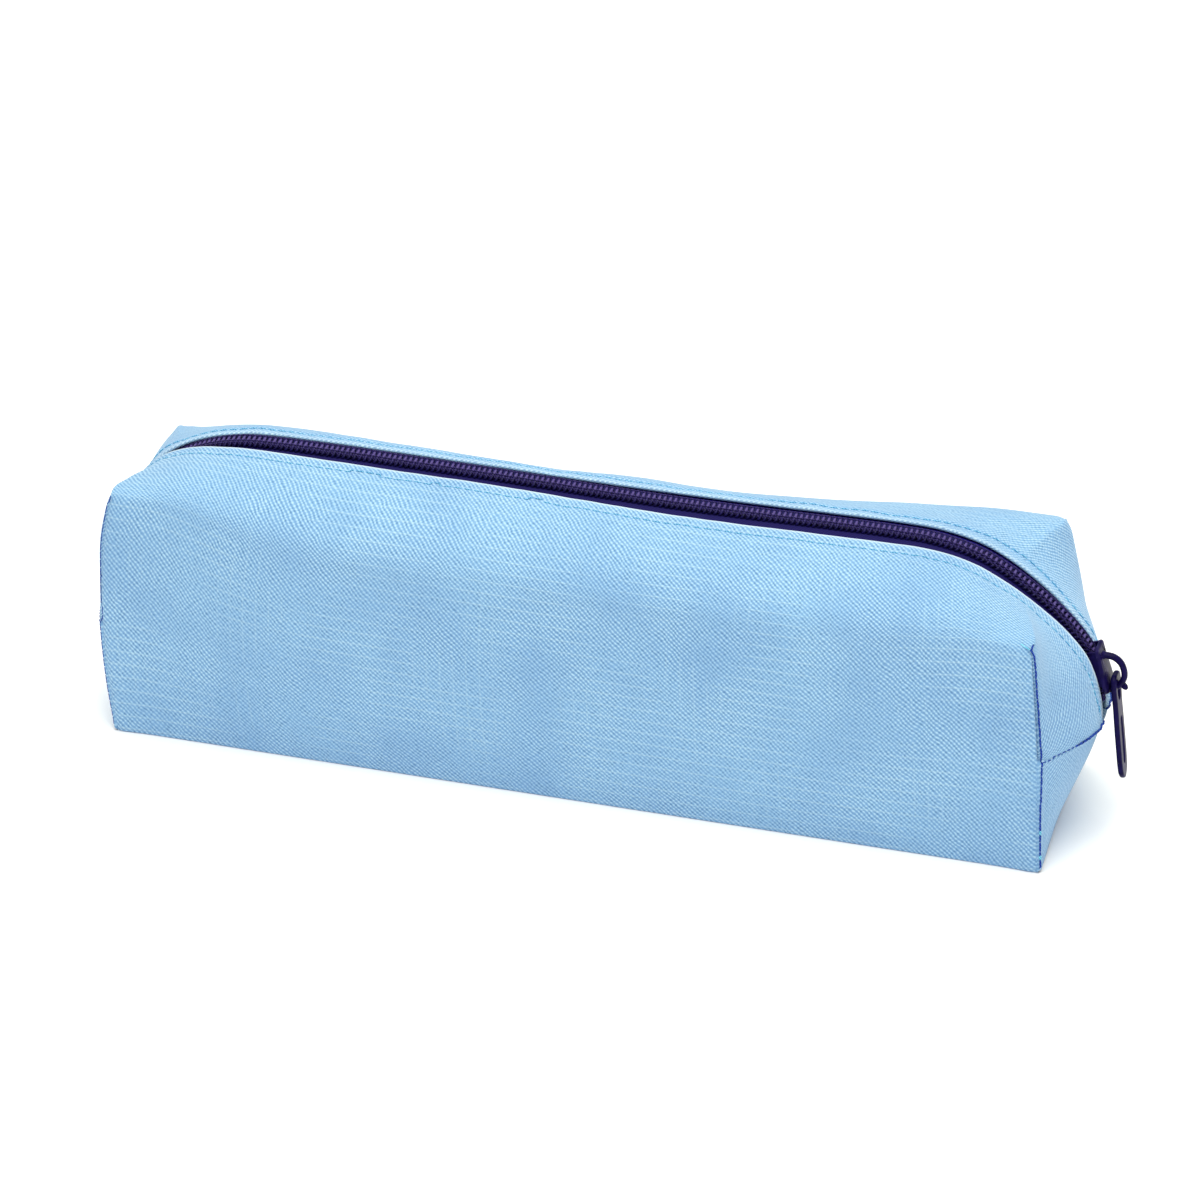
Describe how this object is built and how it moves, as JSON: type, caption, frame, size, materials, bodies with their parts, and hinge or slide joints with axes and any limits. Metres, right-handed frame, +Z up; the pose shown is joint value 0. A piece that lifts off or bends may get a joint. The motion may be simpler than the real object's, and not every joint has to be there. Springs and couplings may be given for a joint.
{
  "type": "pencil case",
  "caption": "Long boxed cloth pencil pouch with a coil zipper that runs over both ends, closed by a painted slider with a hanging pull tab",
  "frame": {"origin": "centre of the base's flat underside, midway between the front and back walls and between the two base ends", "axes": "+X along the length towards the end where the closed zipper's slider rests, -Y out of the front wall, +Z up"},
  "size_m": [0.2381, 0.057, 0.0659],
  "materials": {
    "cloth": "matt woven polyester with a faint ripstop grid",
    "zipper_tape": "matt herringbone tape",
    "zipper_coil": "satin nylon monofilament",
    "core_cord": "matt twisted yarn",
    "topstitch_thread": "satin spun thread",
    "seam_thread": "satin spun thread",
    "seam_binding": "matt woven edge tape",
    "slider_paint": "gloss enamel",
    "pull_paint": "gloss enamel"
  },
  "bodies": {
    "pouch": {"base_panel": "cloth", "front_panel_lower": "cloth", "back_panel_lower": "cloth", "end_panel_lower_left": "cloth", "end_gusset_front_left": "cloth", "end_gusset_back_left": "cloth", "end_seam_thread_left": "seam_thread", "corner_thread_front_left": "seam_thread", "corner_thread_back_left": "seam_thread", "end_binding_left": "seam_binding", "corner_binding_front_left": "seam_binding", "corner_binding_back_left": "seam_binding", "end_panel_lower_right": "cloth", "end_gusset_front_right": "cloth", "end_gusset_back_right": "cloth", "end_seam_thread_right": "seam_thread", "corner_thread_front_right": "seam_thread", "corner_thread_back_right": "seam_thread", "end_binding_right": "seam_binding", "corner_binding_front_right": "seam_binding", "corner_binding_back_right": "seam_binding"},
    "front_lip": {"front_panel_upper": "cloth", "front_tape": "zipper_tape", "front_coil": "zipper_coil", "front_core_cord": "core_cord", "front_topstitch": "topstitch_thread"},
    "back_lip": {"back_panel_upper": "cloth", "back_tape": "zipper_tape", "back_coil": "zipper_coil", "back_core_cord": "core_cord", "back_topstitch": "topstitch_thread"},
    "carriage": {"throat_turns": "zipper_coil"},
    "slider": {"slider_body": "slider_paint", "slider_bail": "slider_paint"},
    "pull": {"pull_tab": "pull_paint"}
  },
  "joints": [
    {"name": "slider_travel", "type": "slide", "parent": "pouch", "child": "carriage", "axis": [-1, 0, 0], "range_m": [0, 0.156]},
    {"name": "slider_turn", "type": "hinge", "parent": "carriage", "child": "slider", "pos_m": [0.078, 0, 0.0278], "axis": [0, -1, 0], "range_deg": [0, 146.01]},
    {"name": "pull_swing", "type": "hinge", "parent": "slider", "child": "pull", "pos_m": [0.11795, 0, 0.03703], "axis": [0, -1, 0], "range_deg": [-2.5, 150]},
    {"name": "front_lip_open", "type": "hinge", "parent": "pouch", "child": "front_lip", "pos_m": [0, -0.0282, 0.02815], "axis": [1, 0, 0], "range_deg": [0, 24.01], "deforming": ["front_tape", "front_coil", "front_core_cord"]},
    {"name": "back_lip_open", "type": "hinge", "parent": "pouch", "child": "back_lip", "pos_m": [0, 0.0282, 0.02815], "axis": [-1, 0, 0], "range_deg": [0, 24.01], "deforming": ["back_tape", "back_coil", "back_core_cord"]}
  ],
  "couplings": [
    {"joint": "slider_turn", "follows": "slider_travel", "rad_per_m": 16.334},
    {"joint": "front_lip_open", "follows": "slider_travel", "rad_per_m": 2.6851},
    {"joint": "back_lip_open", "follows": "slider_travel", "rad_per_m": 2.6851}
  ]
}
